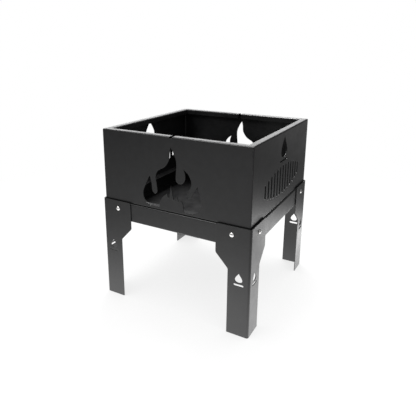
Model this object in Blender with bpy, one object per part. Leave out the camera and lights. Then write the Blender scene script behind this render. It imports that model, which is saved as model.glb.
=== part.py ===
"""Square steel fire pit: a fire box standing on an ash tray with four folded legs.

The fire box has four welded walls and lifts off the tray, to which the legs are bolted.
Units are metres, +Z is up, the flame wall faces -Y, and the feet stand on z = 0.
"""
import math

import bmesh
import bpy
from mathutils import Matrix, Vector

MM = 0.001

# Driving dimensions of the whole pit
WIDTH = 400 * MM                 # outer width of the ash tray
BOX_WIDTH = 396 * MM             # outer width of the fire box, which stands between the legs' tops
HEIGHT = 443 * MM                # ground to the top of the rim
BOX_HEIGHT = 180 * MM            # height of the fire box walls
TRAY_HEIGHT = 47.7 * MM          # height of the tray's sides
SHEET = 2 * MM                   # thickness of every sheet
GAP = 0.3 * MM                   # clearance between pieces that touch
BEND = 3 * MM                    # outer radius of a fold

# Levels that follow from them
BOX_BOTTOM = HEIGHT - BOX_HEIGHT
TRAY_TOP = BOX_BOTTOM - GAP
TRAY_BOTTOM = TRAY_TOP - TRAY_HEIGHT
TRAY_FLOOR = TRAY_BOTTOM + SHEET
HALF = WIDTH / 2
BOX_HALF = BOX_WIDTH / 2

# Flanges folded inwards
RIM_FLANGE = 18 * MM
RIM_LIP = 14 * MM                # fold that hangs down from the rim flange
BOX_FLANGE = 25 * MM             # bottom flange of the fire box
TRAY_FLANGE = 21 * MM            # top flange of the tray, which carries the fire box
NOTCH_WIDTH = 8 * MM             # skewer notch in the front and back rims
NOTCH_DEPTH = 4 * MM             # depth of that notch in the outer face

# Legs: outer widths of one flange of the folded L
LEG_TOP = BOX_BOTTOM + SHEET
LEG_WIDE = 85 * MM
LEG_NARROW = 54 * MM
GUSSET_TOP = 195 * MM
GUSSET_BOTTOM = 162 * MM
LEG_INNER_RADIUS = BEND + GAP
LEG_OUTER_RADIUS = LEG_INNER_RADIUS + SHEET
LEG_FOLD = (LEG_INNER_RADIUS + SHEET / 2) * math.pi / 4    # half the flat length of the fold
LEG_OUTSIDE = HALF + GAP + SHEET                          # outer face of a leg from the centre

# Bolts through legs and tray: M5 round heads with square necks, and flange nuts
BOLT_FROM_CENTRE = 156 * MM
BOLT_HEIGHT = 244.5 * MM
BOLT_RADIUS = 2.5 * MM
BOLT_LENGTH = 14 * MM
HEAD_RADIUS = 5.5 * MM
HEAD_HEIGHT = 3 * MM
HEAD_EDGE = 0.5 * MM             # height of the head's straight edge, below the dome
NECK_WIDTH = 5 * MM              # the square neck keeps the bolt from turning
NECK_LENGTH = 3.6 * MM
NUT_FLATS = 8 * MM
NUT_HEIGHT = 5 * MM
NUT_FLANGE_RADIUS = 5.9 * MM
NUT_FLANGE_HEIGHT = 1 * MM
NUT_BORE_RADIUS = BOLT_RADIUS + GAP
HOLE_WIDTH = NECK_WIDTH + 2 * GAP

# Flame cut-out in the front and back walls, in millimetres from its base line's centre.
# Each run is a smooth curve, and the runs meet in sharp tips.
FLAME_BASE = BOX_BOTTOM + 7.5 * MM
FLAME_RUNS = (
    ((-1, 148), (6, 137), (13, 120), (14, 104), (12, 76), (17, 67), (28, 66), (36, 76), (37, 88),
     (33, 101)),
    ((33, 101), (46, 90), (53, 73), (50, 60), (43, 46), (45, 36), (53, 37), (59, 51), (69, 67)),
    ((69, 67), (74, 50), (78, 27), (73, 8), (56, 0)),
    ((33, 0), (32, 14), (27, 26)),
    ((27, 26), (22, 22), (18, 25), (15, 34)),
    ((15, 34), (10, 24), (5, 27), (-1, 58)),
    ((-1, 58), (-5, 32), (-8, 27), (-12, 37)),
    ((-12, 37), (-24, 27), (-32, 13), (-33, 0)),
    ((-56, 0), (-73, 8), (-80, 27), (-73, 49), (-60, 74)),
    ((-60, 74), (-55, 58), (-53, 39), (-46, 31), (-39, 38), (-41, 58), (-43, 75), (-36, 89),
     (-18, 100), (-6, 117), (-4, 135), (-1, 148)),
)

# Drop and bar cut-outs: a big pair on each side wall, a small pair on each leg flange
SIDE_DROP = (44 * MM, 54 * MM)
SIDE_BAR = (54 * MM, 6 * MM)
SIDE_DROP_HEIGHT = 405 * MM      # height of the drop's middle
SIDE_BAR_HEIGHT = 370 * MM
LEG_DROP = (18 * MM, 22 * MM)
LEG_BAR = (24 * MM, 5 * MM)
LEG_DROP_HEIGHT = 145 * MM
LEG_BAR_HEIGHT = 127.5 * MM
LEG_MARK_FROM_EDGE = 27 * MM     # from the leg's outer corner

# Vent slots in the side walls: a row that is tallest in the middle
SLOT_COUNT = 13
SLOT_PITCH = 20 * MM
SLOT_WIDTH = 8 * MM
SLOT_MIDDLE = 322 * MM
SLOT_TALL = 74 * MM
SLOT_SHORT = 34 * MM

ARC_STEPS = 4
CUT_MARGIN = 5 * MM
SAME_POINT = 0.01 * MM


# ---------------------------------------------------------------- scene and materials

def clear_scene():
    for obj in list(bpy.data.objects):
        bpy.data.objects.remove(obj, do_unlink=True)


def make_material(name, colour, roughness, metallic):
    material = bpy.data.materials.new(name)
    material.use_nodes = True
    shader = material.node_tree.nodes["Principled BSDF"]
    shader.inputs["Base Color"].default_value = (*colour, 1.0)
    shader.inputs["Roughness"].default_value = roughness
    shader.inputs["Metallic"].default_value = metallic
    return material


def make_object(name, mesh, material=None, parent=None, matrix=None):
    obj = bpy.data.objects.new(name, mesh)
    bpy.context.collection.objects.link(obj)
    if material:
        mesh.materials.clear()
        mesh.materials.append(material)
    if parent:
        obj.parent = parent
        obj.matrix_parent_inverse = parent.matrix_world.inverted()
    if matrix:
        obj.matrix_world = matrix
    return obj


def make_empty(name, height):
    empty = bpy.data.objects.new(name, None)
    empty.location.z = height
    bpy.context.collection.objects.link(empty)
    bpy.context.view_layer.update()
    return empty


def to_mesh(name, bm):
    bmesh.ops.recalc_face_normals(bm, faces=bm.faces)
    mesh = bpy.data.meshes.new(name)
    bm.to_mesh(mesh)
    bm.free()
    return mesh


def shade(mesh):
    mesh.shade_smooth()
    mesh.set_sharp_from_angle(angle=math.radians(35))


def combine(mesh, tool, operation):
    """The mesh with one exact Boolean against the tool mesh; both inputs are used up."""
    target = make_object("target", mesh)
    cutter = make_object("cutter", tool)
    modifier = target.modifiers.new("cut", "BOOLEAN")
    modifier.operation = operation
    modifier.solver = "EXACT"
    modifier.object = cutter
    depsgraph = bpy.context.evaluated_depsgraph_get()
    result = bpy.data.meshes.new_from_object(target.evaluated_get(depsgraph))
    bpy.data.objects.remove(target)
    bpy.data.objects.remove(cutter)
    return result


# ---------------------------------------------------------------- outlines

def smooth_run(points, steps=4):
    """Points along a Catmull-Rom curve through the given ones, without the last."""
    padded = [points[0], *points, points[-1]]
    curve = []
    for i in range(len(points) - 1):
        a, b, c, d = (Vector(p) for p in padded[i:i + 4])
        for k in range(steps):
            t = k / steps
            curve.append(0.5 * (2 * b + (c - a) * t + (2 * a - 5 * b + 4 * c - d) * t ** 2
                                + (3 * b - a - 3 * c + d) * t ** 3))
    return curve


def flame_outline():
    outline = []
    for run in FLAME_RUNS:
        outline.extend(smooth_run(run))
        outline.append(Vector(run[-1]))
    tidy = [outline[0]]
    for point in outline[1:-1]:
        if (point - tidy[-1]).length > 0.5:
            tidy.append(point)
    return [(p.x * MM, FLAME_BASE + p.y * MM) for p in tidy]


def drop_outline(width, height, middle, steps=28):
    """A plain teardrop with its tip upwards; straight sides run into the tip."""
    widest = 0.702
    outline = []
    for k in [0, *range(2, steps - 1)]:
        angle = 2 * math.pi * k / steps
        across = math.sin(angle) * abs(math.sin(angle / 2)) ** 1.5 / widest
        outline.append((across * width / 2, middle + math.cos(angle) * height / 2))
    return outline


def slot_outline(width, height, middle, centre=0.0):
    """A slot with round ends along its longer side."""
    radius = min(width, height) / 2
    dx = width / 2 - radius
    dz = height / 2 - radius
    outline = []
    for quarter, (sx, sz) in enumerate(((1, 1), (-1, 1), (-1, -1), (1, -1))):
        for k in range(ARC_STEPS + 1):
            angle = math.pi / 2 * (quarter + k / ARC_STEPS)
            point = (centre + sx * dx + radius * math.cos(angle),
                     middle + sz * dz + radius * math.sin(angle))
            if not outline or math.dist(point, outline[-1]) > SAME_POINT:
                outline.append(point)
    if math.dist(outline[0], outline[-1]) < SAME_POINT:
        outline.pop()
    return outline


def bolt_hole(centre):
    """Outline of the square hole for a bolt's neck."""
    half = HOLE_WIDTH / 2
    return [(centre + x * half, BOLT_HEIGHT + z * half) for x, z in ((-1, -1), (1, -1), (1, 1), (-1, 1))]


def rounded_outline(corners):
    """A polygon whose corners (x, z, radius) are rounded by arcs."""
    outline = []
    for i, (x, z, radius) in enumerate(corners):
        corner = Vector((x, z))
        before = (Vector(corners[i - 1][:2]) - corner).normalized()
        after = (Vector(corners[(i + 1) % len(corners)][:2]) - corner).normalized()
        opening = before.angle(after)
        tangent = radius / math.tan(opening / 2)
        centre = corner + (before + after).normalized() * radius / math.sin(opening / 2)
        start = corner + before * tangent - centre
        finish = corner + after * tangent - centre
        turn = start.angle_signed(finish)
        for k in range(ARC_STEPS + 1):
            outline.append(centre + Matrix.Rotation(-turn * k / ARC_STEPS, 2) @ start)
    return [tuple(p) for p in outline]


# ---------------------------------------------------------------- solids

def plate(outlines, near, far):
    """Closed solids: each (x, z) outline swept along Y from near to far."""
    bm = bmesh.new()
    for outline in outlines:
        front = [bm.verts.new((x, near, z)) for x, z in outline]
        back = [bm.verts.new((x, far, z)) for x, z in outline]
        bm.faces.new(front)
        bm.faces.new(back[::-1])
        for i in range(len(outline)):
            j = (i + 1) % len(outline)
            bm.faces.new((front[j], front[i], back[i], back[j]))
    return bm


def cutter_plate(name, outlines, near, far):
    bm = plate(outlines, near, far)
    bmesh.ops.triangulate(bm, faces=bm.faces)
    return to_mesh(name, bm)


def square_ring(bm, half, inset, height):
    """One loop around the pit: a square with rounded corners, at an inset from an outer half width."""
    smallest = 0.6 * MM
    radius = max(BEND - inset, smallest)
    reach = half - inset - radius
    loop = []
    for quarter, (sx, sy) in enumerate(((1, 1), (-1, 1), (-1, -1), (1, -1))):
        for k in range(ARC_STEPS + 1):
            angle = math.pi / 2 * (quarter + k / ARC_STEPS)
            loop.append(bm.verts.new((sx * reach + radius * math.cos(angle),
                                      sy * reach + radius * math.sin(angle), height)))
    return loop


def join_loops(bm, first, second):
    for i in range(len(first)):
        j = (i + 1) % len(first)
        bm.faces.new((first[i], first[j], second[j], second[i]))


def fold(inset, height, radius, start, turn):
    """Points of a quarter fold in the (inset, height) profile, start and turn in quarters."""
    points = []
    for k in range(ARC_STEPS + 1):
        angle = math.pi / 2 * (start + turn * k / ARC_STEPS)
        points.append((inset + radius * math.cos(angle), height + radius * math.sin(angle)))
    return points


def lathe(profile, steps):
    """A closed solid of revolution about Z; its (radius, height) points start and end on the axis."""
    bm = bmesh.new()
    loops = []
    for radius, height in profile[1:-1]:
        loops.append([bm.verts.new((radius * math.cos(2 * math.pi * k / steps),
                                    radius * math.sin(2 * math.pi * k / steps), height))
                      for k in range(steps)])
    for first, second in zip(loops, loops[1:]):
        join_loops(bm, first, second)
    bm.faces.new(loops[0])
    bm.faces.new(loops[-1])
    return bm


def drum(name, radius, low, high, steps):
    """A plain cylinder or prism about Z."""
    return to_mesh(name, lathe([(0, low), (radius, low), (radius, high), (0, high)], steps))


# ---------------------------------------------------------------- fire box

def wall_profile():
    """Section of a fire box wall: bottom flange, wall, rim flange and hanging lip."""
    inner = BEND - SHEET
    profile = fold(BEND, BOX_BOTTOM + BEND, BEND, 3, -1)
    profile += fold(BEND, HEIGHT - BEND, BEND, 2, -1)
    profile += fold(RIM_FLANGE - BEND, HEIGHT - BEND, BEND, 1, -1)
    profile += [(RIM_FLANGE, HEIGHT - RIM_LIP), (RIM_FLANGE - SHEET, HEIGHT - RIM_LIP)]
    profile += fold(RIM_FLANGE - BEND, HEIGHT - BEND, inner, 0, 1)
    profile += fold(BEND, HEIGHT - BEND, inner, 1, 1)
    profile += fold(BEND, BOX_BOTTOM + BEND, inner, 2, 1)
    profile += [(BOX_FLANGE, BOX_BOTTOM + SHEET), (BOX_FLANGE, BOX_BOTTOM)]
    return profile


def plain_wall():
    """The front wall without cut-outs: the full square section, mitred at both corners."""
    bm = bmesh.new()
    loops = [square_ring(bm, BOX_HALF, inset, height) for inset, height in wall_profile()]
    for first, second in zip(loops, loops[1:] + loops[:1]):
        join_loops(bm, first, second)
    ring = to_mesh("box_ring", bm)
    reach = WIDTH
    apex = GAP / math.sqrt(2)
    wedge = bmesh.new()
    low, high = BOX_BOTTOM - CUT_MARGIN, HEIGHT + CUT_MARGIN
    corners = ((0, -apex), (-reach, -apex - reach), (reach, -apex - reach))
    bottom = [wedge.verts.new((x, y, low)) for x, y in corners]
    top = [wedge.verts.new((x, y, high)) for x, y in corners]
    wedge.faces.new(bottom)
    wedge.faces.new(top)
    join_loops(wedge, bottom, top)
    return combine(ring, to_mesh("wedge", wedge), "INTERSECT")


def flame_wall():
    mesh = plain_wall()
    flame = cutter_plate("flame", [flame_outline()], -BOX_HALF - CUT_MARGIN, -BOX_HALF + CUT_MARGIN)
    mesh = combine(mesh, flame, "DIFFERENCE")
    half = NOTCH_WIDTH / 2
    low, high = HEIGHT - NOTCH_DEPTH, HEIGHT + CUT_MARGIN
    across = [(-half, low), (half, low), (half, high), (-half, high)]
    notch = cutter_plate("notch", [across], -BOX_HALF - CUT_MARGIN, -BOX_HALF + RIM_FLANGE / 2)
    mesh = combine(mesh, notch, "DIFFERENCE")
    low = HEIGHT - RIM_LIP - CUT_MARGIN
    down = [(-half, low), (half, low), (half, high), (-half, high)]
    near, far = -BOX_HALF + RIM_FLANGE / 3, -BOX_HALF + RIM_FLANGE + CUT_MARGIN
    lip = cutter_plate("lip_notch", [down], near, far)
    return combine(mesh, lip, "DIFFERENCE")


def vent_wall():
    outlines = [drop_outline(*SIDE_DROP, SIDE_DROP_HEIGHT), slot_outline(*SIDE_BAR, SIDE_BAR_HEIGHT)]
    last = (SLOT_COUNT - 1) / 2
    for i in range(SLOT_COUNT):
        place = (i - last) / last
        height = SLOT_SHORT + (SLOT_TALL - SLOT_SHORT) * (1 - place ** 2)
        outlines.append(slot_outline(SLOT_WIDTH, height, SLOT_MIDDLE, (i - last) * SLOT_PITCH))
    cutter = cutter_plate("vents", outlines, -BOX_HALF - CUT_MARGIN, -BOX_HALF + CUT_MARGIN)
    return combine(plain_wall(), cutter, "DIFFERENCE")


def build_fire_box(material):
    parent = make_empty("fire_box_lift", BOX_BOTTOM)
    flame, vent = flame_wall(), vent_wall()
    shade(flame)
    shade(vent)
    walls = (("front_wall", flame), ("right_wall", vent), ("back_wall", flame), ("left_wall", vent))
    for quarter, (name, mesh) in enumerate(walls):
        turn = Matrix.Rotation(quarter * math.pi / 2, 4, "Z")
        make_object(name, mesh.copy(), material, parent, turn)


# ---------------------------------------------------------------- ash tray

def build_tray(material):
    inner = BEND - SHEET
    bm = bmesh.new()
    profile = fold(BEND, TRAY_BOTTOM + BEND, BEND, 3, -1)
    profile += fold(BEND, TRAY_TOP - BEND, BEND, 2, -1)
    profile += [(TRAY_FLANGE, TRAY_TOP), (TRAY_FLANGE, TRAY_TOP - SHEET)]
    profile += fold(BEND, TRAY_TOP - BEND, inner, 1, 1)
    profile += fold(BEND, TRAY_BOTTOM + BEND, inner, 2, 1)
    loops = [square_ring(bm, HALF, inset, height) for inset, height in profile]
    for first, second in zip(loops, loops[1:]):
        join_loops(bm, first, second)
    bm.faces.new(loops[0])
    bm.faces.new(loops[-1])
    mesh = to_mesh("ash_tray", bm)
    holes = [bolt_hole(side * BOLT_FROM_CENTRE) for side in (-1, 1)]
    for quarter in range(4):
        cutter = cutter_plate("holes", holes, -HALF - CUT_MARGIN, -HALF + CUT_MARGIN)
        cutter.transform(Matrix.Rotation(quarter * math.pi / 2, 4, "Z"))
        mesh = combine(mesh, cutter, "DIFFERENCE")
    shade(mesh)
    return make_object("ash_tray", mesh, material)


# ---------------------------------------------------------------- legs

def flat_position(from_corner):
    """Place on the unfolded leg for a distance from the folded leg's outer corner."""
    return LEG_FOLD + from_corner - LEG_OUTER_RADIUS


def flat_leg():
    """The unfolded leg as a flat plate: x along the sheet, y through it, z up."""
    wide, narrow = flat_position(LEG_WIDE), flat_position(LEG_NARROW)
    right = [(narrow, 0, 1.5 * MM), (narrow, GUSSET_BOTTOM, 8 * MM),
             (wide, GUSSET_TOP, 8 * MM), (wide, LEG_TOP, 5 * MM)]
    left = [(-x, z, radius) for x, z, radius in reversed(right)]
    mesh = to_mesh("leg", plate([rounded_outline(right + left)], 0, SHEET))
    outlines = []
    for side in (-1, 1):
        bolt = side * flat_position(LEG_OUTSIDE - BOLT_FROM_CENTRE)
        mark = side * flat_position(LEG_MARK_FROM_EDGE)
        outlines.append(bolt_hole(bolt))
        drop = drop_outline(*LEG_DROP, LEG_DROP_HEIGHT)
        outlines.append([(x + mark, z) for x, z in drop])
        outlines.append(slot_outline(*LEG_BAR, LEG_BAR_HEIGHT, mark))
    return combine(mesh, cutter_plate("marks", outlines, -CUT_MARGIN, CUT_MARGIN), "DIFFERENCE")


def folded(point):
    """The unfolded leg's point wrapped round the front left corner of the tray."""
    centre = Vector((-HALF + BEND, -HALF + BEND))
    radius = LEG_INNER_RADIUS + point.y
    bend = max(-1.0, min(1.0, point.x / LEG_FOLD)) * math.pi / 4
    facing = Vector((math.cos(1.25 * math.pi + bend), math.sin(1.25 * math.pi + bend)))
    place = centre + facing * radius
    if point.x > LEG_FOLD:
        place.x += point.x - LEG_FOLD
    if point.x < -LEG_FOLD:
        place.y -= point.x + LEG_FOLD
    return Vector((place.x, place.y, point.z))


def build_legs(material):
    bm = bmesh.new()
    bm.from_mesh(flat_leg())
    steps = 2 * ARC_STEPS
    for k in range(steps + 1):
        cut = Vector((LEG_FOLD * (2 * k / steps - 1), 0, 0))
        geometry = bm.verts[:] + bm.edges[:] + bm.faces[:]
        bmesh.ops.bisect_plane(bm, geom=geometry, dist=0.001 * MM, plane_co=cut, plane_no=(1, 0, 0))
    for vert in bm.verts:
        vert.co = folded(vert.co)
    mesh = to_mesh("leg", bm)
    shade(mesh)
    for quarter, name in enumerate(("front_left", "front_right", "back_right", "back_left")):
        turn = Matrix.Rotation(quarter * math.pi / 2, 4, "Z")
        make_object(f"leg_{name}", mesh.copy(), material, matrix=turn)


# ---------------------------------------------------------------- fasteners

def bolt_mesh():
    """A round head bolt along Z: the domed head above z = 0, the square neck and the shank below."""
    end = -BOLT_LENGTH
    chamfer = 0.5 * MM
    profile = [(0, end), (BOLT_RADIUS - chamfer, end), (BOLT_RADIUS, end + chamfer),
               (BOLT_RADIUS, 0), (HEAD_RADIUS, 0)]
    dome_height = HEAD_HEIGHT - HEAD_EDGE
    dome_radius = (HEAD_RADIUS ** 2 + dome_height ** 2) / (2 * dome_height)
    widest = math.asin(HEAD_RADIUS / dome_radius)
    rings = 6
    for k in range(rings):
        angle = widest * (1 - k / rings)
        profile.append((dome_radius * math.sin(angle), HEAD_HEIGHT - dome_radius * (1 - math.cos(angle))))
    profile.append((0, HEAD_HEIGHT))
    mesh = to_mesh("bolt", lathe(profile, 24))
    neck = drum("neck", NECK_WIDTH / math.sqrt(2), -NECK_LENGTH, HEAD_EDGE, 4)
    neck.transform(Matrix.Rotation(math.pi / 4, 4, "Z"))
    return combine(mesh, neck, "UNION")


def nut_mesh():
    """A flange nut along -Z, its flange at z = 0."""
    hexagon = drum("hexagon", NUT_FLATS / math.sqrt(3), -NUT_HEIGHT, -NUT_FLANGE_HEIGHT / 2, 6)
    disc = drum("disc", NUT_FLANGE_RADIUS, -NUT_FLANGE_HEIGHT, 0, 20)
    bore = drum("bore", NUT_BORE_RADIUS, -NUT_HEIGHT - CUT_MARGIN, CUT_MARGIN, 20)
    return combine(combine(disc, hexagon, "UNION"), bore, "DIFFERENCE")


def build_fasteners(steel, zinc):
    bolt, nut = bolt_mesh(), nut_mesh()
    shade(bolt)
    shade(nut)
    outwards = Matrix.Rotation(math.pi / 2, 4, "X")
    for quarter, wall in enumerate(("front", "right", "back", "left")):
        turn = Matrix.Rotation(quarter * math.pi / 2, 4, "Z")
        for number, side in enumerate((-1, 1), start=1):
            across = side * BOLT_FROM_CENTRE
            head = Matrix.Translation((across, -LEG_OUTSIDE - GAP, BOLT_HEIGHT))
            seat = Matrix.Translation((across, -HALF + SHEET + GAP, BOLT_HEIGHT))
            make_object(f"bolt_{wall}_{number}", bolt.copy(), steel, matrix=turn @ head @ outwards)
            make_object(f"nut_{wall}_{number}", nut.copy(), zinc, matrix=turn @ seat @ outwards)


def main():
    clear_scene()
    coat = make_material("black_powder_coat", (0.022, 0.022, 0.024), 0.42, 0.0)
    steel = make_material("stainless_steel", (0.62, 0.61, 0.60), 0.22, 1.0)
    zinc = make_material("zinc_plate", (0.55, 0.56, 0.58), 0.38, 1.0)
    build_fire_box(coat)
    build_tray(coat)
    build_legs(coat)
    build_fasteners(steel, zinc)


main()
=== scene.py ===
"""A square steel fire pit in black powder coat, shown on a plain pale floor.

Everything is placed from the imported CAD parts. Units are metres and +Z is up.
"""
import math

import bmesh
import bpy
from mathutils import Matrix, Vector


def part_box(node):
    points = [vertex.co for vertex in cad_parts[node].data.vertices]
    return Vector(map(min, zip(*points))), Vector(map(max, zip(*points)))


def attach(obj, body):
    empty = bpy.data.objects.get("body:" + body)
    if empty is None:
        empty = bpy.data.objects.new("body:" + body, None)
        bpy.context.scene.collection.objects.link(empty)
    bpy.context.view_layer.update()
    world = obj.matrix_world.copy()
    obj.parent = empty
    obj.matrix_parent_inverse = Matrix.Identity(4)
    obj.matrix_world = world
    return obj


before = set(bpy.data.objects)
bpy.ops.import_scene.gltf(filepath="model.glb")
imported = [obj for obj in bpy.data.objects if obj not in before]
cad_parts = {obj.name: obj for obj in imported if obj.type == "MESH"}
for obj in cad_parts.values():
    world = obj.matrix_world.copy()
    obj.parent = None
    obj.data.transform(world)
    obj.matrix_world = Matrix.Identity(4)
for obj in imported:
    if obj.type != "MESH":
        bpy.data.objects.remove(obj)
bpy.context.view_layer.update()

MM = 0.001
WALLS = ("front_wall", "right_wall", "back_wall", "left_wall")
LEGS = ("leg_front_left", "leg_front_right", "leg_back_right", "leg_back_left")

# Sheet metal of the fire box
SHEET = 2 * MM
BEND = 3 * MM                    # outer radius of a fold
RIM_FLANGE = 18 * MM
RIM_LIP = 14 * MM                # fold that hangs down from the rim flange
BOX_FLANGE = 25 * MM             # bottom flange
CORNER_RADIUS = 0.6 * MM         # smallest radius inside the corners
BOX_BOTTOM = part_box("front_wall")[0][2]
BOX_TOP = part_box("front_wall")[1][2]
HALF = -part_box("front_wall")[0][1]

# Softened edges
SHEET_EDGE = 0.3 * MM
BOLT_EDGE = 0.25 * MM
NUT_EDGE = 0.3 * MM
SAME_POINT = 0.001 * MM
SHARP = math.radians(40)         # an edge that turns by more is sharp

# Welds of the fire box's corners: a filled mitre, a ground skin outside, a rippled bead inside
MITRE_SUNK = 0.04 * MM           # how far the filling lies below the sheets' faces
MITRE_HALF = 0.45 * MM
SKIN_REACH = math.radians(38)    # how far the skin goes round the corner, each way
SKIN_PROUD = 0.10 * MM
SKIN_SUNK = 0.02 * MM            # depth of the skin's margins
SKIN_DEPTH = 0.5 * MM
SKIN_TURN = math.radians(60)     # how far the skin follows the folds above and below
BEAD_SIZE = 1.9 * MM
BEAD_RIPPLE = 0.25 * MM
BEAD_PITCH = 2.4 * MM
BEAD_END = 0.55                  # share of its size to which the bead tapers at its ends
BEAD_SUNK = 0.3 * MM             # how far the bead's middle lies behind the sheets' inner faces
BEAD_ROOT = 0.4 * MM             # and how much deeper its root goes
BEAD_CLEAR = (1 * MM, 3 * MM)    # clearance to the bottom flange and to the lip

# Materials
SEED_SHIFT = (3.7, 1.9, 2.3)     # how far the next seed moves a pattern
EDGE_RADIUS = 0.7 * MM           # an edge that is sharper shows wear and a painted edge highlight

# Painted pools of light, and a painted shadow under the pit, on the floor as reflections see it:
# centre, reach and brightness
POOLS = (((0.0, 0.0, 0.0), 0.48, 2.6), ((0.0, 0.0, 0.0), 0.19, -2.0),
         ((0.28, 0.42, 0.0), 0.14, 2.2), ((-0.1, -1.7, 0.0), 1.7, 0.66),
         ((0.7, 3.0, 0.0), 1.3, 0.35), ((1.75, -1.1, 0.0), 0.5, 2.8))
POOL_FAR = 0.03                  # brightness far from every pool
FLOOR_REACH = 30.0
SHADOW_REACH = 0.4
SHADOW_TONES = (0.81, 1.0)       # glow of the paper in deep painted shade and in the open
WHITE_FROM, WHITE_TO = 0.55, 1.3    # distances over which the paper turns plain white

# The studio: radiance by direction
BRIGHT_SIDE = (-0.56, 0.812, 0.165)
BRIGHT_CONE = (0.84, 0.975)      # cosines between which it brightens
ROOM_TONES = (0.15, 2.6)         # away from the bright side and in it
LOW_HEIGHTS = (0.24, 0.40)       # the bright side ends between these heights
LOW_TONES = (1.0, 0.06)          # factors below and above them
DARK_SIDE = (0.75, 0.66, 0.0)
DARK_CONE = (0.5, 0.85)
DARK_TONES = (1.0, 0.45)         # factors away from the dark side and in it
DOME_HEIGHTS = (0.25, 0.6)
DOME_TONES = (0.0, 0.6)          # below the dome and in it

# Round soft lights, all aimed at the pit: place, size and power
LIGHTS = {"overhead": ((-0.42, 0.9, 2.7), 1.0, 95),
          "front_fill": ((-0.9, -1.9, 2.2), 1.2, 24)}
LIGHT_TARGET = (0.0, 0.0, 0.2)

# Camera
CAMERA_PLACE = (0.5085, -0.9867, 0.6402)
CAMERA_YAW, CAMERA_PITCH, CAMERA_ROLL = (math.radians(a) for a in (29.88, 15.04, 0.05))
CAMERA_LENS = 37.29
CAMERA_SENSOR = 36.0
CAMERA_SHIFT = (0.038, -0.114)


# ---------------------------------------------------------------- nodes

def feed(tree, socket, value):
    """Links a socket to another one, or fills in its value."""
    if isinstance(value, bpy.types.NodeSocket):
        tree.links.new(value, socket)
    else:
        socket.default_value = value


def add_node(tree, kind, inputs=None, **settings):
    """A new node, set up, with its inputs linked or filled in."""
    made = tree.nodes.new(kind)
    for key, value in settings.items():
        setattr(made, key, value)
    for key, value in (inputs or {}).items():
        feed(tree, made.inputs[key], value)
    return made


def map_range(tree, value, span, onto, curve="LINEAR"):
    """The value's range span mapped to the range onto."""
    inputs = {"Value": value, "From Min": span[0], "From Max": span[1],
              "To Min": onto[0], "To Max": onto[1]}
    return add_node(tree, "ShaderNodeMapRange", inputs, interpolation_type=curve).outputs["Result"]


class Shader:
    """One procedural material: a Principled BSDF and helpers for the nodes that feed it."""

    def __init__(self, name):
        self.material = bpy.data.materials.new(name)
        self.material.use_nodes = True
        self.tree = self.material.node_tree
        self.out = self.tree.nodes["Principled BSDF"]

    def node(self, kind, inputs=None, **settings):
        return add_node(self.tree, kind, inputs, **settings)

    def place(self, seed):
        """Object coordinates, moved by a seed so that no two materials share a pattern."""
        coords = self.node("ShaderNodeTexCoord").outputs["Object"]
        shift = tuple(step * seed for step in SEED_SHIFT)
        return self.node("ShaderNodeVectorMath", {0: coords, 1: shift}, operation="ADD").outputs[0]

    def noise(self, place, scale, detail=2.0, roughness=0.5, distortion=0.0):
        inputs = {"Vector": place, "Scale": scale, "Detail": detail, "Roughness": roughness,
                  "Distortion": distortion}
        return self.node("ShaderNodeTexNoise", inputs).outputs["Fac"]

    def stretch(self, value, span, onto):
        return map_range(self.tree, value, span, onto)

    def maths(self, operation, a, b=0.0):
        return self.node("ShaderNodeMath", {0: a, 1: b}, operation=operation).outputs[0]

    def distance(self, place, centre):
        inputs = {0: place, 1: centre}
        return self.node("ShaderNodeVectorMath", inputs, operation="DISTANCE").outputs["Value"]

    def mix(self, factor, first, second):
        """Blends two colours, each of them a socket or red, green and blue."""
        made = self.node("ShaderNodeMix", {0: factor}, data_type="RGBA")
        for socket, colour in ((made.inputs[6], first), (made.inputs[7], second)):
            feed(self.tree, socket, (*colour, 1.0) if isinstance(colour, tuple) else colour)
        return made.outputs[2]

    def edges(self, radius):
        """1 on edges that are sharper than the radius, 0 on open faces."""
        soft = self.node("ShaderNodeBevel", {"Radius": radius}, samples=4).outputs[0]
        hard = self.node("ShaderNodeNewGeometry").outputs["Normal"]
        same = self.node("ShaderNodeVectorMath", {0: soft, 1: hard}, operation="DOT_PRODUCT")
        return self.stretch(same.outputs["Value"], (0.995, 0.85), (0.0, 1.0))

    def bump(self, height, strength, distance, normal=None):
        inputs = {"Height": height, "Strength": strength, "Distance": distance}
        if normal:
            inputs["Normal"] = normal
        return self.node("ShaderNodeBump", inputs).outputs[0]

    def finish(self, **sockets):
        """Feeds the Principled BSDF's inputs, whose names have _ for each space."""
        for key, value in sockets.items():
            feed(self.tree, self.out.inputs[key.replace("_", " ")], value)
        return self.material


# ---------------------------------------------------------------- materials

def powder_coat(name, seed):
    """Satin black powder coat: orange peel, faint handling marks, edges a little worn and lighter
    as a painted edge highlight.
    """
    shader = Shader(name)
    place = shader.place(seed)
    peel = shader.noise(place, scale=900.0, detail=1.5)
    mottle = shader.noise(place, scale=55.0, detail=4.0, roughness=0.6)
    smudge = shader.noise(place, scale=11.0, detail=5.0, roughness=0.62, distortion=0.8)
    panel = shader.noise(place, scale=5.0, detail=1.0)
    blotch = shader.stretch(mottle, (0.35, 0.65), (0.0, 1.0))
    base = shader.mix(blotch, (0.0070, 0.0070, 0.0074), (0.0105, 0.0105, 0.0110))
    # Partly wear and partly painted edge highlight: sharp edges get a lighter colour
    edge_wear_and_highlight = shader.maths("MULTIPLY", shader.edges(EDGE_RADIUS), 0.6)
    worn_and_highlit = shader.mix(edge_wear_and_highlight, base, (0.018, 0.018, 0.019))
    dull = shader.stretch(smudge, (0.3, 0.7), (0.29, 0.37))
    rough = shader.maths("ADD", dull, shader.stretch(mottle, (0.3, 0.7), (-0.02, 0.03)))
    wavy = shader.bump(panel, strength=0.25, distance=1.2 * MM)
    normal = shader.bump(peel, strength=0.14, distance=0.03 * MM, normal=wavy)
    return shader.finish(Base_Color=worn_and_highlit, Roughness=rough, Normal=normal, IOR=1.52)


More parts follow.
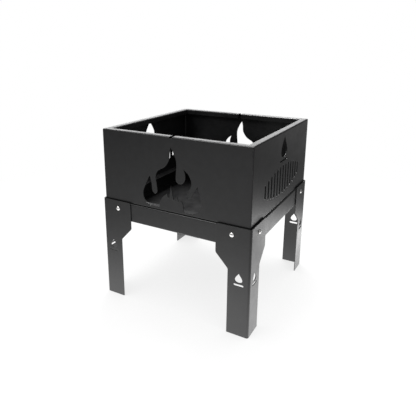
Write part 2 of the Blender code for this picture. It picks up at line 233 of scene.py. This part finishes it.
def bright_steel(name, seed):
    """Polished stainless steel with fine turning marks."""
    shader = Shader(name)
    place = shader.place(seed)
    fine = shader.noise(place, scale=2500.0, detail=2.0)
    cloud = shader.noise(place, scale=260.0, detail=3.0)
    blotch = shader.stretch(cloud, (0.3, 0.7), (0.0, 1.0))
    base = shader.mix(blotch, (0.78, 0.77, 0.75), (0.92, 0.91, 0.90))
    rough = shader.stretch(cloud, (0.3, 0.7), (0.24, 0.40))
    normal = shader.bump(fine, strength=0.15, distance=0.02 * MM)
    return shader.finish(Base_Color=base, Roughness=rough, Metallic=1.0, Normal=normal)


def zinc_plate(name, seed):
    """Zinc plate: faintly blue, cloudy and duller than stainless steel."""
    shader = Shader(name)
    place = shader.place(seed)
    cloud = shader.noise(place, scale=320.0, detail=4.0, roughness=0.65)
    fine = shader.noise(place, scale=1900.0)
    blotch = shader.stretch(cloud, (0.3, 0.7), (0.0, 1.0))
    base = shader.mix(blotch, (0.44, 0.45, 0.47), (0.66, 0.66, 0.64))
    rough = shader.stretch(cloud, (0.3, 0.7), (0.30, 0.48))
    normal = shader.bump(fine, strength=0.25, distance=0.03 * MM)
    return shader.finish(Base_Color=base, Roughness=rough, Metallic=1.0, Normal=normal)


def pale_paper(name):
    """Seamless paper that the camera sees white with a painted contact shadow, while reflections
    see it dark with painted pools of light and shade.
    """
    shader = Shader(name)
    where = shader.node("ShaderNodeTexCoord").outputs["Object"]
    fibre = shader.noise(where, scale=90.0, detail=5.0)
    base = shader.mix(fibre, (0.050, 0.050, 0.050), (0.060, 0.060, 0.060))
    # Painted contact shadow: the glow the camera sees drops where the pit occludes the floor
    occlusion = shader.node("ShaderNodeAmbientOcclusion", {"Distance": SHADOW_REACH}, samples=8)
    light = shader.stretch(occlusion.outputs["AO"], (0.3, 0.95), SHADOW_TONES)
    shader.finish(Base_Color=base, Roughness=0.9, Specular_IOR_Level=0.0,
                  Emission_Color=(1.0, 1.0, 1.0, 1.0), Emission_Strength=light)

    # Painted pools of light and painted shade, drawn as glow that only reflections see
    glow = POOL_FAR
    for centre, reach, brightness in POOLS:
        share = shader.maths("DIVIDE", shader.distance(where, centre), reach)
        squared = shader.maths("POWER", share, 2.0)
        pool = shader.maths("EXPONENT", shader.maths("MULTIPLY", squared, -1.0))
        glow = shader.maths("ADD", shader.maths("MULTIPLY", pool, brightness), glow)
    emission = shader.node("ShaderNodeEmission", {"Strength": glow})
    dull = shader.node("ShaderNodeBsdfDiffuse", {"Color": (0.04, 0.04, 0.04, 1.0)})
    painted_pools_look = shader.node("ShaderNodeAddShader", {0: dull.outputs[0], 1: emission.outputs[0]})

    away = shader.distance(where, (0.0, 0.0, 0.0))
    far = shader.stretch(away, (WHITE_FROM, WHITE_TO), (0.0, 1.0))
    plain = shader.node("ShaderNodeEmission", {"Strength": 1.0})
    looks = shader.node("ShaderNodeMixShader", {0: far, 1: shader.out.outputs[0],
                                                2: plain.outputs[0]})
    seen = shader.node("ShaderNodeLightPath").outputs["Is Camera Ray"]
    final = shader.node("ShaderNodeMixShader", {0: seen, 1: painted_pools_look.outputs[0], 2: looks.outputs[0]})
    surface = shader.tree.nodes["Material Output"].inputs["Surface"]
    shader.tree.links.new(final.outputs[0], surface)
    return shader.material


# ---------------------------------------------------------------- finishing the CAD parts

def parts_named(prefix):
    """The CAD nodes whose names start with the prefix, in a fixed order."""
    return sorted(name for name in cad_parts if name.startswith(prefix))


def dress(names, make, label, edge):
    """Gives each CAD part its own copy of a finish and softens its edges."""
    for seed, name in enumerate(names):
        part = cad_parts[name]
        part.data.materials.clear()
        part.data.materials.append(make(f"{label}_{seed + 1}", seed))
        weld = part.modifiers.new("weld", "WELD")
        weld.merge_threshold = SAME_POINT
        bevel = part.modifiers.new("soft_edges", "BEVEL")
        bevel.width = edge
        bevel.segments = 2
        bevel.limit_method = "ANGLE"
        bevel.angle_limit = SHARP
        bevel.use_clamp_overlap = False
        bevel.harden_normals = False


# ---------------------------------------------------------------- welds of the fire box

def fold(inset, height, radius, start, turn, steps=6):
    """Points of a quarter fold, start and turn in quarters."""
    angles = [math.pi / 2 * (start + turn * k / steps) for k in range(steps + 1)]
    return [(inset + radius * math.cos(a), height + radius * math.sin(a)) for a in angles]


def sheet_section():
    """Section of a wall as (inset, height) points: bottom flange, wall, rim flange and lip."""
    low, high = BOX_BOTTOM, BOX_TOP
    inner_bend = BEND - SHEET
    outside = (fold(BEND, low + BEND, BEND, 3, -1)
               + fold(BEND, high - BEND, BEND, 2, -1)
               + fold(RIM_FLANGE - BEND, high - BEND, BEND, 1, -1))
    inside = (fold(RIM_FLANGE - BEND, high - BEND, inner_bend, 0, 1)
              + fold(BEND, high - BEND, inner_bend, 1, 1)
              + fold(BEND, low + BEND, inner_bend, 2, 1))
    lip_end = [(RIM_FLANGE, high - RIM_LIP), (RIM_FLANGE - SHEET, high - RIM_LIP)]
    return [(BOX_FLANGE, low)] + outside + lip_end + inside + [(BOX_FLANGE, low + SHEET)]


def corner_distance(inset):
    """How far the rounded corner of the box is from the middle, along the diagonal."""
    radius = max(BEND - inset, CORNER_RADIUS)
    return math.sqrt(2) * (HALF - inset - radius) + radius


def add_prism(bm, outline, near, far):
    """A closed prism from an outline of (along, z) points, between two depths across it."""
    front = [bm.verts.new((along, near, z)) for along, z in outline]
    back = [bm.verts.new((along, far, z)) for along, z in outline]
    bm.faces.new(front)
    bm.faces.new(back[::-1])
    for i in range(len(outline)):
        j = (i + 1) % len(outline)
        bm.faces.new((front[j], front[i], back[i], back[j]))


def add_tube(bm, loops):
    """A closed solid through a row of loops with the same number of points."""
    rows = [[bm.verts.new(point) for point in loop] for loop in loops]
    for first, second in zip(rows, rows[1:]):
        for i in range(len(first)):
            j = (i + 1) % len(first)
            bm.faces.new((first[i], first[j], second[j], second[i]))
    bm.faces.new(rows[0][::-1])
    bm.faces.new(rows[-1])


def add_mitre(bm):
    """Fills the mitre between two walls, a hair below the sheets' own faces."""
    section = sheet_section()
    outline = []
    for i, point in enumerate(section):
        before, after = Vector(section[i - 1]), Vector(section[(i + 1) % len(section)])
        along = (after - before).normalized()
        inward = Vector((along.y, -along.x))
        sunk = Vector(point) + inward * MITRE_SUNK
        outline.append((corner_distance(sunk.x), sunk.y))
    add_prism(bm, outline, -MITRE_HALF, MITRE_HALF)


def add_skin(bm, steps=8, turns=6):
    """The weld ground smooth on the outer corner: a thin skin that dies out at both sides."""
    centre = math.sqrt(2) * (HALF - BEND)
    angles = [SKIN_TURN * k / turns for k in range(turns, 0, -1)]
    levels = [(BOX_BOTTOM + BEND - BEND * math.sin(a), BEND * math.cos(a)) for a in angles]
    levels += [(BOX_BOTTOM + BEND, BEND), (BOX_TOP - BEND, BEND)]
    levels += [(BOX_TOP - BEND + BEND * math.sin(a), BEND * math.cos(a)) for a in angles[::-1]]
    rows = []
    for height, radius in levels:
        outer, inner = [], []
        for k in range(steps + 1):
            side = 2 * k / steps - 1
            lift = SKIN_PROUD * (1 - side * side) - SKIN_SUNK
            for ring, extra in ((outer, lift), (inner, -SKIN_DEPTH)):
                reach = radius + extra
                angle = side * SKIN_REACH
                ring.append((centre + reach * math.cos(angle), reach * math.sin(angle), height))
        rows.append(outer + inner[::-1])
    add_tube(bm, rows)


def add_bead(bm, steps_per_ripple=6):
    """The rippled fillet weld down the inside corner, between the bottom flange and the lip."""
    low = BOX_BOTTOM + SHEET + BEAD_CLEAR[0]
    high = BOX_TOP - RIM_LIP - BEAD_CLEAR[1]
    corner = corner_distance(SHEET) + BEAD_SUNK
    steps = int((high - low) / BEAD_PITCH * steps_per_ripple)
    rows = []
    for k in range(steps + 1):
        height = low + (high - low) * k / steps
        phase = (height / BEAD_PITCH) % 1.0
        size = BEAD_SIZE + BEAD_RIPPLE * math.sin(math.pi * phase)
        if k in (0, steps):
            size *= BEAD_END
        crest = corner - 1.15 * size
        loop = ((corner - size, -size), (crest, -0.4 * size), (crest, 0.4 * size),
                (corner - size, size), (corner + BEAD_ROOT, 0.0))
        rows.append([(x, y, height) for x, y in loop])
    add_tube(bm, rows)


def build_welds():
    """The welds on the four corners of the fire box, coated with it."""
    bm = bmesh.new()
    add_mitre(bm)
    add_skin(bm)
    add_bead(bm)
    bmesh.ops.recalc_face_normals(bm, faces=bm.faces)
    corners = (("front_left", 2.5), ("front_right", 3.5), ("back_right", 0.5), ("back_left", 1.5))
    for name, quarter in corners:
        mesh = bpy.data.meshes.new(f"weld_{name}")
        bm.to_mesh(mesh)
        mesh.transform(Matrix.Rotation(quarter * math.pi / 2, 4, "Z"))
        mesh.materials.append(powder_coat(f"powder_coat_weld_{name}", 20 + quarter))
        mesh.shade_smooth()
        mesh.set_sharp_from_angle(angle=SHARP)
        weld = bpy.data.objects.new(f"weld_{name}", mesh)
        bpy.context.collection.objects.link(weld)
        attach(weld, "fire_box")
    bm.free()


# ---------------------------------------------------------------- floor, light and camera

def make_floor():
    """A wide pale floor at the height of the feet."""
    mesh = bpy.data.meshes.new("floor")
    reach = FLOOR_REACH
    corners = [(-reach, -reach, 0), (reach, -reach, 0), (reach, reach, 0), (-reach, reach, 0)]
    mesh.from_pydata(corners, [], [(0, 1, 2, 3)])
    mesh.materials.append(pale_paper("floor_paper"))
    floor = bpy.data.objects.new("floor", mesh)
    bpy.context.collection.objects.link(floor)


def make_lights():
    """Round soft lights that face the pit."""
    for name, (place, size, power) in LIGHTS.items():
        data = bpy.data.lights.new(name, "AREA")
        data.shape = "DISK"
        data.size = size
        data.energy = power
        light = bpy.data.objects.new(name, data)
        light.location = place
        aim = Vector(LIGHT_TARGET) - Vector(place)
        light.rotation_euler = aim.to_track_quat("-Z", "Y").to_euler()
        bpy.context.collection.objects.link(light)


def make_world():
    """A studio, bright behind the pit and dim elsewhere, that the camera sees as plain white."""
    world = bpy.data.worlds.new("studio")
    bpy.context.scene.world = world
    world.use_nodes = True
    tree = world.node_tree
    tree.nodes.clear()
    direction = add_node(tree, "ShaderNodeTexCoord").outputs["Generated"]
    height = add_node(tree, "ShaderNodeSeparateXYZ", {0: direction}).outputs["Z"]

    def ramp(value, span, onto):
        return map_range(tree, value, span, onto, curve="SMOOTHSTEP")

    def towards(side):
        inputs = {0: direction, 1: side}
        made = add_node(tree, "ShaderNodeVectorMath", inputs, operation="DOT_PRODUCT")
        return made.outputs["Value"]

    def maths(operation, a, b):
        return add_node(tree, "ShaderNodeMath", {0: a, 1: b}, operation=operation).outputs[0]

    side = ramp(towards(BRIGHT_SIDE), BRIGHT_CONE, ROOM_TONES)
    low = ramp(height, LOW_HEIGHTS, LOW_TONES)
    dark = ramp(towards(DARK_SIDE), DARK_CONE, DARK_TONES)
    dome = ramp(height, DOME_HEIGHTS, DOME_TONES)
    strength = maths("ADD", maths("MULTIPLY", maths("MULTIPLY", side, low), dark), dome)

    white = (1.0, 1.0, 1.0, 1.0)
    room = add_node(tree, "ShaderNodeBackground", {"Color": white, "Strength": strength})
    plain = add_node(tree, "ShaderNodeBackground", {"Color": white, "Strength": 1.0})
    seen = add_node(tree, "ShaderNodeLightPath").outputs["Is Camera Ray"]
    both = add_node(tree, "ShaderNodeMixShader", {0: seen, 1: room.outputs[0], 2: plain.outputs[0]})
    add_node(tree, "ShaderNodeOutputWorld", {"Surface": both.outputs[0]})


def make_camera():
    """The camera in front of the pit, to its right and above it."""
    yaw, pitch, roll = CAMERA_YAW, CAMERA_PITCH, CAMERA_ROLL
    ahead = Vector((-math.sin(yaw) * math.cos(pitch), math.cos(yaw) * math.cos(pitch),
                    -math.sin(pitch)))
    right = ahead.cross(Vector((0, 0, 1))).normalized()
    up = right.cross(ahead)
    tilted_right = right * math.cos(roll) + up * math.sin(roll)
    tilted_up = up * math.cos(roll) - right * math.sin(roll)
    data = bpy.data.cameras.new("camera")
    data.lens = CAMERA_LENS
    data.sensor_width = CAMERA_SENSOR
    data.shift_x, data.shift_y = CAMERA_SHIFT
    camera = bpy.data.objects.new("camera", data)
    axes = Matrix((tilted_right, tilted_up, -ahead)).transposed()
    camera.matrix_world = Matrix.Translation(CAMERA_PLACE) @ axes.to_4x4()
    bpy.context.collection.objects.link(camera)
    bpy.context.scene.camera = camera


# ---------------------------------------------------------------- the pit

dress(WALLS + LEGS + ("ash_tray",), powder_coat, "powder_coat", SHEET_EDGE)
dress(parts_named("bolt_"), bright_steel, "bright_steel", BOLT_EDGE)
dress(parts_named("nut_"), zinc_plate, "zinc_plate", NUT_EDGE)
build_welds()

make_floor()
make_world()
make_lights()
make_camera()
bpy.context.scene.view_settings.view_transform = "Standard"
